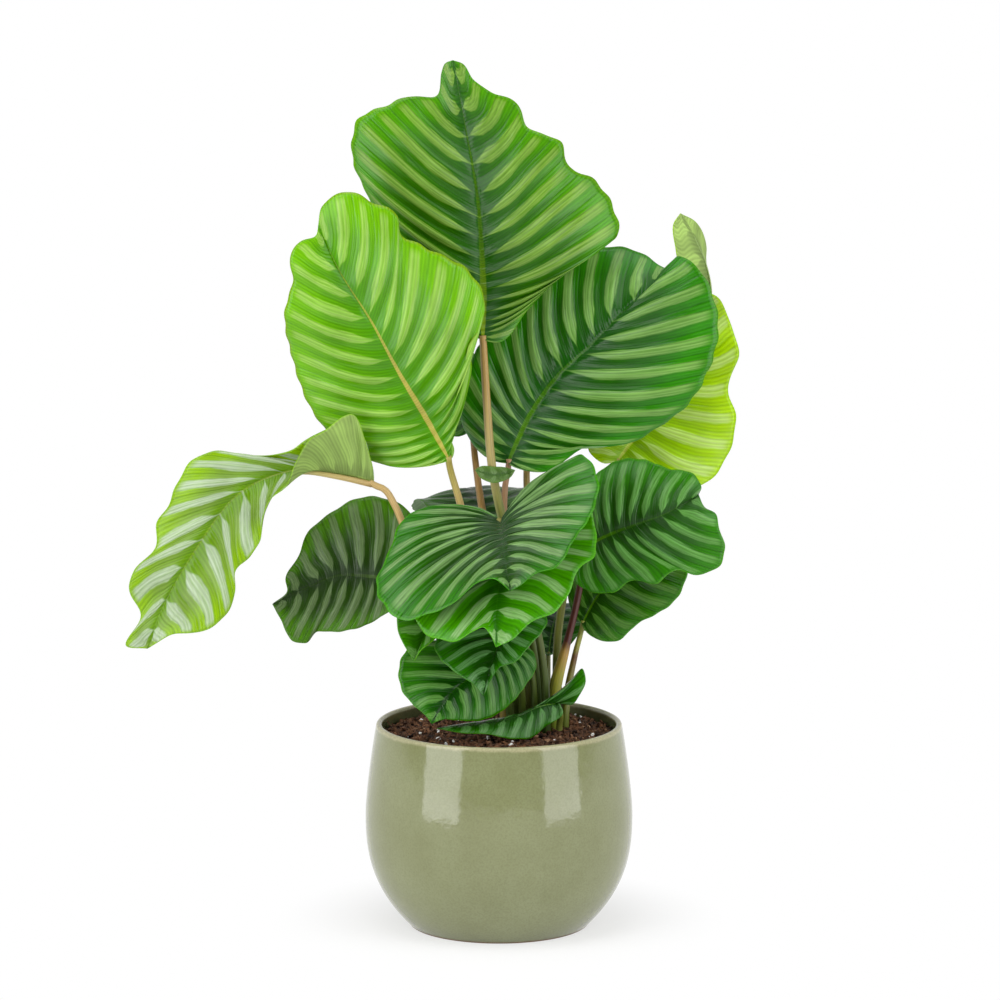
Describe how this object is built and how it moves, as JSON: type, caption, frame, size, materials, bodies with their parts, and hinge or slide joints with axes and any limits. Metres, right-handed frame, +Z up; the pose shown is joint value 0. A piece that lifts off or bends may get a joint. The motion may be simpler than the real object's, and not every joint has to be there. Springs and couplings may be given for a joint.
{
  "type": "potted houseplant",
  "caption": "Striped-leaf prayer plant with broad round leaves on thin stalks, growing from potting mix in a rounded glazed pot.",
  "frame": {"origin": "centre of the pot's flat underside", "axes": "+Z up along the pot's axis; -Y towards the plant's front"},
  "size_m": [0.6091, 0.3742, 0.8671],
  "materials": {
    "sage_glaze": "gloss",
    "potting_mix": "matte",
    "lime_leaf": "satin",
    "green_leaf": "satin",
    "dark_leaf": "satin",
    "green_stalk": "satin",
    "brown_stalk": "satin"
  },
  "bodies": {
    "root": {"pot": "sage_glaze", "potting_mix": "potting_mix", "upper_left_leaf": "lime_leaf", "upper_left_stalk": "brown_stalk", "right_back_leaf": "lime_leaf", "right_back_stalk": "brown_stalk", "arching_leaf": "lime_leaf", "arching_stalk": "brown_stalk", "crown_leaf": "green_leaf", "crown_stalk": "green_stalk", "second_front_leaf": "green_leaf", "second_front_stalk": "green_stalk", "left_low_leaf": "green_leaf", "left_low_stalk": "green_stalk", "rim_leaf": "green_leaf", "rim_stalk": "green_stalk", "resting_leaf": "green_leaf", "resting_stalk": "green_stalk", "upper_back_leaf": "green_leaf", "upper_back_stalk": "green_stalk", "back_high_leaf": "green_leaf", "back_high_stalk": "green_stalk", "upper_right_leaf": "dark_leaf", "upper_right_stalk": "green_stalk", "left_mid_leaf": "dark_leaf", "left_mid_stalk": "green_stalk", "front_leaf": "dark_leaf", "front_stalk": "green_stalk", "low_front_leaf": "dark_leaf", "low_front_stalk": "green_stalk", "right_mid_leaf": "dark_leaf", "right_mid_stalk": "green_stalk", "right_low_leaf": "dark_leaf", "right_low_stalk": "green_stalk", "back_mid_leaf": "dark_leaf", "back_mid_stalk": "green_stalk", "back_low_leaf": "dark_leaf", "back_low_stalk": "green_stalk", "back_left_leaf": "dark_leaf", "back_left_stalk": "green_stalk"}
  },
  "joints": []
}
